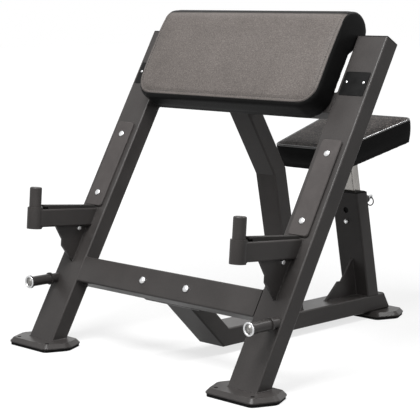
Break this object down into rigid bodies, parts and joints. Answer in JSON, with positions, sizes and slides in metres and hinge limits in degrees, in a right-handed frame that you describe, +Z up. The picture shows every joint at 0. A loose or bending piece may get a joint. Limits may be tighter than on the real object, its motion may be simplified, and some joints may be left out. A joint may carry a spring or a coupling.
{
  "type": "preacher curl bench",
  "caption": "Preacher curl bench with leaning uprights, a padded arm rest with a top roll, bar catches, band pegs and a pin-adjusted padded seat.",
  "frame": {"origin": "on the floor, under the middle of the bench's overall box", "axes": "+Z up, +X to the lifter's left seen from the seat (the right of the picture's front view), -Y towards the bar catches, +Y towards the seat"},
  "size_m": [0.994, 1.104, 0.9343],
  "materials": {
    "frame_paint": "satin powder coat",
    "guard_plastic": "matte",
    "liner_rubber": "matte",
    "chrome": "polished",
    "zinc": "bright zinc",
    "pad_vinyl": "grained vinyl, dark sides",
    "seat_vinyl": "grained vinyl, dark sides",
    "board_wood": "plywood",
    "foot_rubber": "matte",
    "nylon": "satin",
    "badge_paint": "satin"
  },
  "bodies": {
    "frame": {"arm_pad": "pad_vinyl", "arm_pad_board": "board_wood", "base_end_cap": "frame_paint", "base_flange": "frame_paint", "base_tube": "frame_paint", "front_crossbar": "frame_paint", "guide_screw": "zinc", "left_badge_plate": "badge_paint", "left_band_peg": "frame_paint", "left_catch_arm": "frame_paint", "left_catch_boss": "frame_paint", "left_catch_gusset": "frame_paint", "left_catch_liner": "liner_rubber", "left_catch_pin": "frame_paint", "left_catch_stud": "zinc", "left_crossbar_bolt": "zinc", "left_crossbar_nut": "zinc", "left_foot_plate": "frame_paint", "left_foot_rubber": "foot_rubber", "left_lower_guard_bolt": "zinc", "left_pad_bolt": "zinc", "left_peg_cap": "chrome", "left_upper_guard_bolt": "zinc", "left_upright": "frame_paint", "left_upright_cap": "frame_paint", "left_wear_guard": "guard_plastic", "pin_housing": "frame_paint", "post_guide": "nylon", "rear_foot_plate": "frame_paint", "rear_foot_rubber": "foot_rubber", "rear_gusset": "frame_paint", "rear_post": "frame_paint", "right_badge_plate": "badge_paint", "right_band_peg": "frame_paint", "right_catch_arm": "frame_paint", "right_catch_boss": "frame_paint", "right_catch_gusset": "frame_paint", "right_catch_liner": "liner_rubber", "right_catch_pin": "frame_paint", "right_catch_stud": "zinc", "right_crossbar_bolt": "zinc", "right_crossbar_nut": "zinc", "right_foot_plate": "frame_paint", "right_foot_rubber": "foot_rubber", "right_lower_guard_bolt": "zinc", "right_pad_bolt": "zinc", "right_peg_cap": "chrome", "right_upper_guard_bolt": "zinc", "right_upright": "frame_paint", "right_upright_cap": "frame_paint", "right_wear_guard": "guard_plastic", "spine_tube": "frame_paint", "upper_crossmember": "frame_paint"},
    "seat": {"seat_tube": "chrome", "seat_plate": "frame_paint", "seat_board": "board_wood", "seat_cushion": "seat_vinyl"},
    "plunger": {"pin_plunger": "zinc"},
    "ring": {"pull_ring": "zinc"}
  },
  "joints": [
    {"name": "seat_height", "type": "slide", "parent": "frame", "child": "seat", "axis": [0, -0.1908, 0.9816], "range_m": [-0.075, 0.075]},
    {"name": "pin_pull", "type": "slide", "parent": "frame", "child": "plunger", "axis": [0, 0.9816, 0.1908], "range_m": [0, 0.01], "stiffness_N_per_m": 1500, "springref_m": -0.006},
    {"name": "ring_swing", "type": "hinge", "parent": "plunger", "child": "ring", "pos_m": [0, 0.47672, 0.36571], "axis": [1, 0, 0], "range_deg": [-30, 110]}
  ]
}
